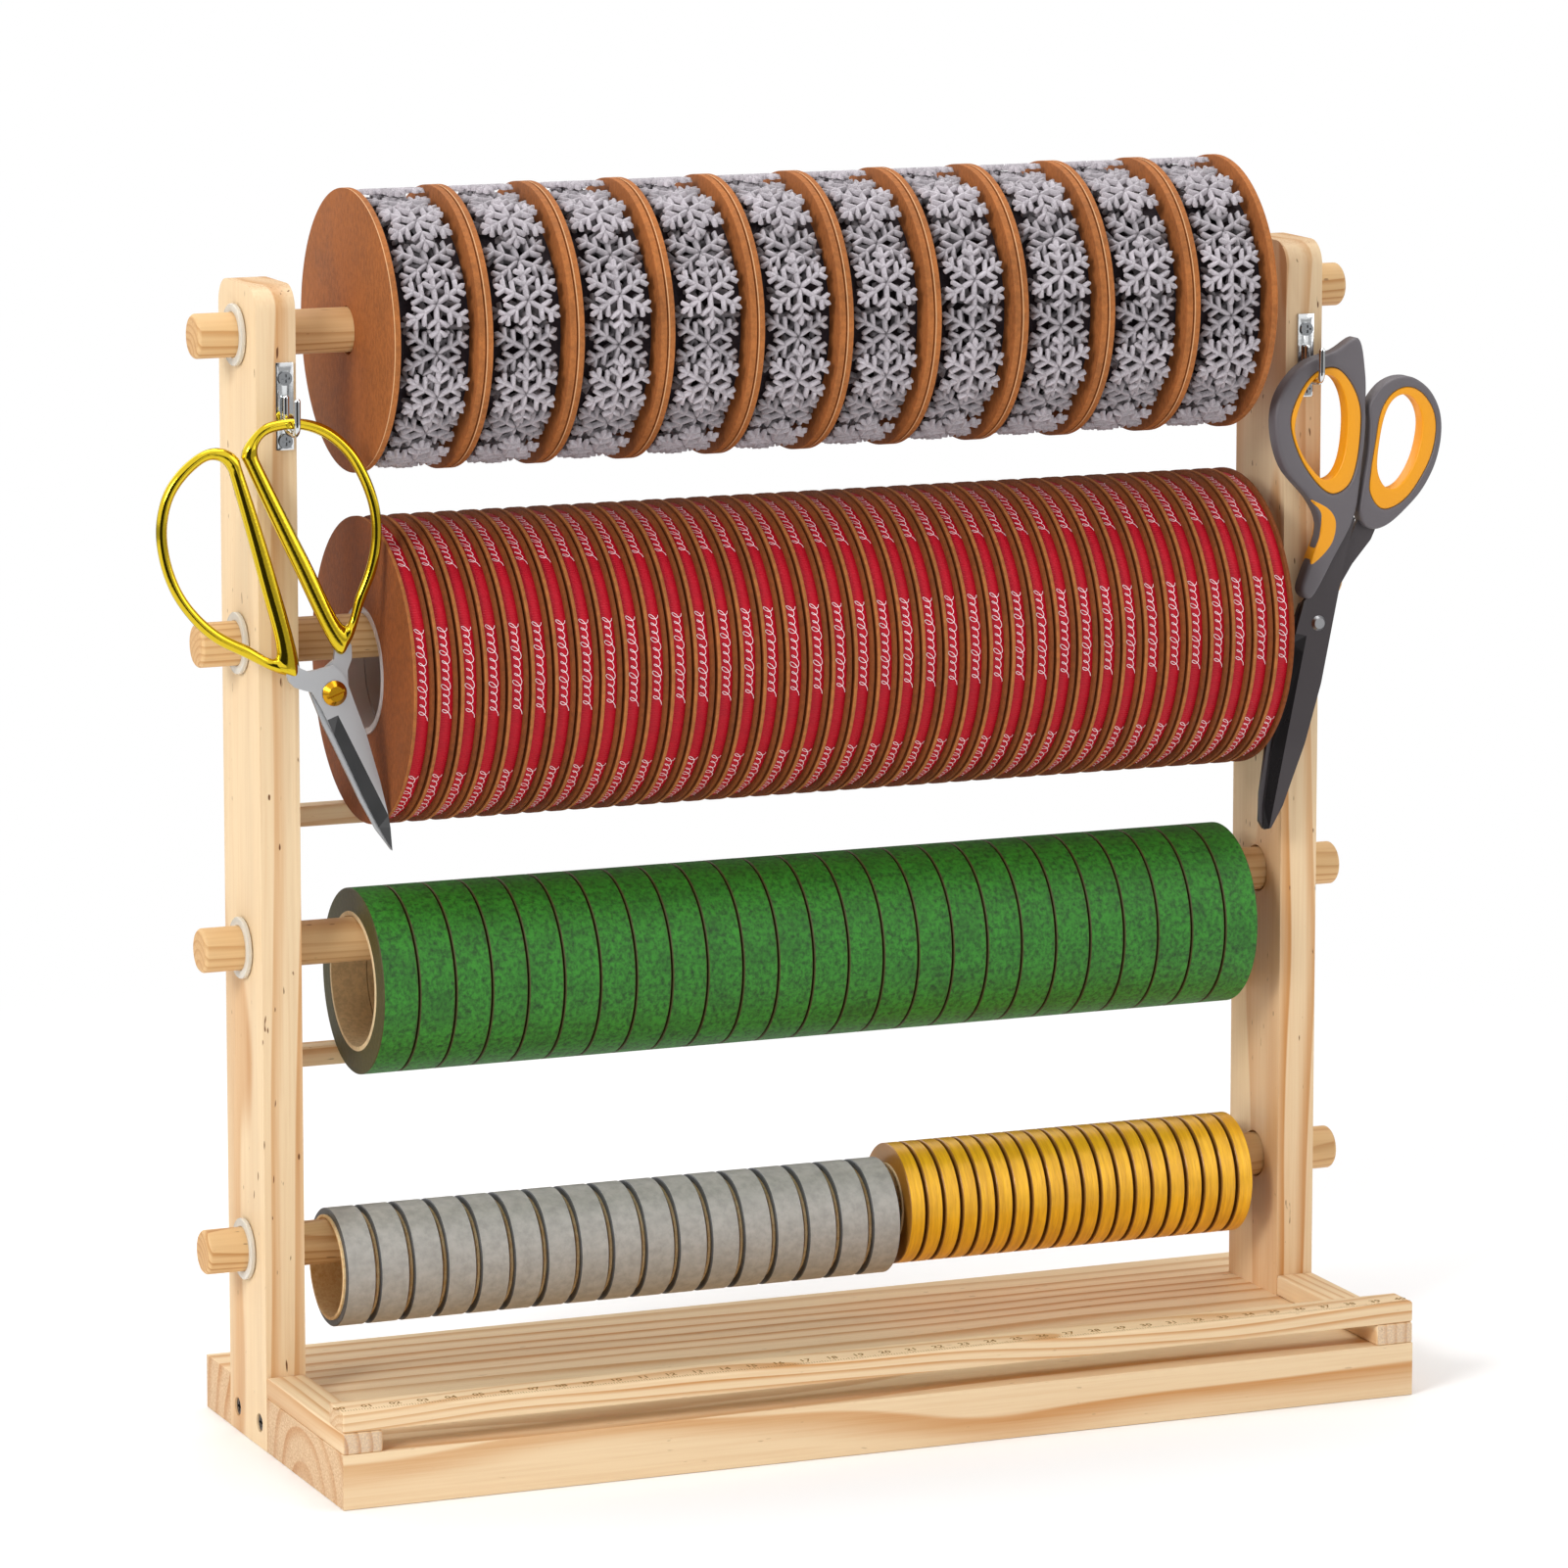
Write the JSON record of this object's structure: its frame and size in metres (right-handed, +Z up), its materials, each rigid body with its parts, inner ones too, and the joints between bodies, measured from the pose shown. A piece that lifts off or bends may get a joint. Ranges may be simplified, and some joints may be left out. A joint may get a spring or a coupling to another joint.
{
  "type": "ribbon and tape dispenser rack",
  "caption": "Wooden stand with dowel rods that carry rows of ribbon and tape rolls over a base with a ruler rail and cutting slot, with scissors on side hooks",
  "frame": {"origin": "middle of the base board's underside", "axes": "+Z up, +X to the viewer's right, front towards -Y"},
  "size_m": [0.4849, 0.1545, 0.4365],
  "materials": {
    "pine_wood": "clear sanded pine with fine grain, dark flecks and small knots",
    "rod_wood": "turned hardwood dowel, orange-tan, fine pores",
    "clear_ring": "milky see-through soft ring",
    "dark_bolt": "blackened machine screw head",
    "brass_screw": "yellow brass, lightly worn",
    "bright_plate": "nickel-plated steel",
    "kraft_card": "brown kraft card, fibrous",
    "core_paper": "pale wound paper",
    "clear_plastic": "clear moulded plastic, slightly pink",
    "snow_trim": "grey felt-like trim over a near-black ground",
    "red_ribbon": "red grosgrain ribbon with a fine white curl pattern",
    "green_crepe": "creped green floral tape, mottled",
    "grey_tape": "matt grey crepe tape",
    "gold_satin": "gold satin ribbon with a bright sheen",
    "gold_plate": "polished yellow-gold plating",
    "ground_steel": "ground steel with a fine scratch pattern",
    "grey_grip": "warm grey soft-touch plastic",
    "yellow_insert": "yellow soft rubber",
    "black_blade": "dark non-stick coating",
    "steel_screw": "small steel rivet screw"
  },
  "bodies": {
    "stand": {"base_board": "pine_wood", "left_upright": "pine_wood", "right_upright": "pine_wood", "left_side_rail": "pine_wood", "right_side_rail": "pine_wood", "ruler_rail": "pine_wood", "upper_cross_bar": "pine_wood", "lower_cross_bar": "pine_wood", "upright_bolts": "dark_bolt", "cross_bar_screws": "brass_screw", "left_hook_plate": "bright_plate", "right_hook_plate": "bright_plate", "left_hook": "bright_plate", "right_hook": "bright_plate", "hook_plate_screws": "bright_plate"},
    "ring_1": {"stop_ring_1": "clear_ring"},
    "rod_1": {"dowel_rod_1": "rod_wood"},
    "ring_2": {"stop_ring_2": "clear_ring"},
    "rod_2": {"dowel_rod_2": "rod_wood"},
    "ring_3": {"stop_ring_3": "clear_ring"},
    "rod_3": {"dowel_rod_3": "rod_wood"},
    "ring_4": {"stop_ring_4": "clear_ring"},
    "rod_4": {"dowel_rod_4": "rod_wood"},
    "trim_rolls": {"trim_spools": "kraft_card", "trim_windings": "snow_trim"},
    "ribbon_rolls": {"ribbon_spools": "kraft_card", "ribbon_hubs": "clear_plastic", "ribbon_windings": "red_ribbon"},
    "green_rolls": {"green_cores": "core_paper", "green_tapes": "green_crepe"},
    "grey_rolls": {"grey_cores": "core_paper", "grey_tapes": "grey_tape"},
    "gold_rolls": {"gold_cores": "clear_plastic", "gold_ribbons": "gold_satin"},
    "gold_hanging_half": {"gold_hanging_handle": "gold_plate", "gold_hanging_blade": "ground_steel", "gold_pivot_screw": "brass_screw"},
    "gold_free_half": {"gold_free_handle": "gold_plate", "gold_free_blade": "ground_steel"},
    "grey_hanging_half": {"grey_hanging_handle": "grey_grip", "grey_hanging_grip": "yellow_insert", "grey_thumb_inset": "yellow_insert", "grey_hanging_blade": "black_blade", "grey_pivot_screw": "steel_screw"},
    "grey_free_half": {"grey_free_handle": "grey_grip", "grey_free_grip": "yellow_insert", "grey_free_blade": "black_blade"}
  },
  "joints": [
    {"name": "rod_1_pull", "type": "slide", "parent": "stand", "child": "ring_1", "axis": [-1, 0, 0], "range_m": [0, 0.026]},
    {"name": "rod_1_turn", "type": "hinge", "parent": "ring_1", "child": "rod_1", "pos_m": [-0.2027, 0.027, 0.3878], "axis": [1, 0, 0], "continuous": true},
    {"name": "rod_2_pull", "type": "slide", "parent": "stand", "child": "ring_2", "axis": [-1, 0, 0], "range_m": [0, 0.026]},
    {"name": "rod_2_turn", "type": "hinge", "parent": "ring_2", "child": "rod_2", "pos_m": [-0.2027, 0.027, 0.2812], "axis": [1, 0, 0], "continuous": true},
    {"name": "rod_3_pull", "type": "slide", "parent": "stand", "child": "ring_3", "axis": [-1, 0, 0], "range_m": [0, 0.026]},
    {"name": "rod_3_turn", "type": "hinge", "parent": "ring_3", "child": "rod_3", "pos_m": [-0.2027, 0.027, 0.1746], "axis": [1, 0, 0], "continuous": true},
    {"name": "rod_4_pull", "type": "slide", "parent": "stand", "child": "ring_4", "axis": [-1, 0, 0], "range_m": [0, 0.026]},
    {"name": "rod_4_turn", "type": "hinge", "parent": "ring_4", "child": "rod_4", "pos_m": [-0.2027, 0.027, 0.068], "axis": [1, 0, 0], "continuous": true},
    {"name": "trim_spin", "type": "hinge", "parent": "stand", "child": "trim_rolls", "pos_m": [0, 0.027, 0.38745], "axis": [1, 0, 0], "continuous": true},
    {"name": "ribbon_spin", "type": "hinge", "parent": "stand", "child": "ribbon_rolls", "pos_m": [0, 0.027, 0.269], "axis": [1, 0, 0], "continuous": true},
    {"name": "green_spin", "type": "hinge", "parent": "stand", "child": "green_rolls", "pos_m": [0, 0.027, 0.15965], "axis": [1, 0, 0], "continuous": true},
    {"name": "grey_spin", "type": "hinge", "parent": "stand", "child": "grey_rolls", "pos_m": [0, 0.027, 0.05855], "axis": [1, 0, 0], "continuous": true},
    {"name": "gold_spin", "type": "hinge", "parent": "stand", "child": "gold_rolls", "pos_m": [0, 0.027, 0.0623], "axis": [1, 0, 0], "continuous": true},
    {"name": "gold_swing", "type": "hinge", "parent": "stand", "child": "gold_hanging_half", "pos_m": [-0.1916, -0.00115, 0.3564], "axis": [0, 1, 0], "range_deg": [0, 40]},
    {"name": "gold_open", "type": "hinge", "parent": "gold_hanging_half", "child": "gold_free_half", "pos_m": [-0.1777, -0.00115, 0.26665], "axis": [0, -1, 0], "range_deg": [0, 40]},
    {"name": "grey_swing", "type": "hinge", "parent": "stand", "child": "grey_hanging_half", "pos_m": [0.1947, -0.00115, 0.3564], "axis": [0, -1, 0], "range_deg": [0, 40]},
    {"name": "grey_open", "type": "hinge", "parent": "grey_hanging_half", "child": "grey_free_half", "pos_m": [0.19644, -0.00115, 0.26881], "axis": [0, 1, 0], "range_deg": [0, 40]}
  ],
  "couplings": [
    {"joint": "gold_open", "follows": "gold_swing", "ratio": 1},
    {"joint": "grey_open", "follows": "grey_swing", "ratio": 1}
  ]
}
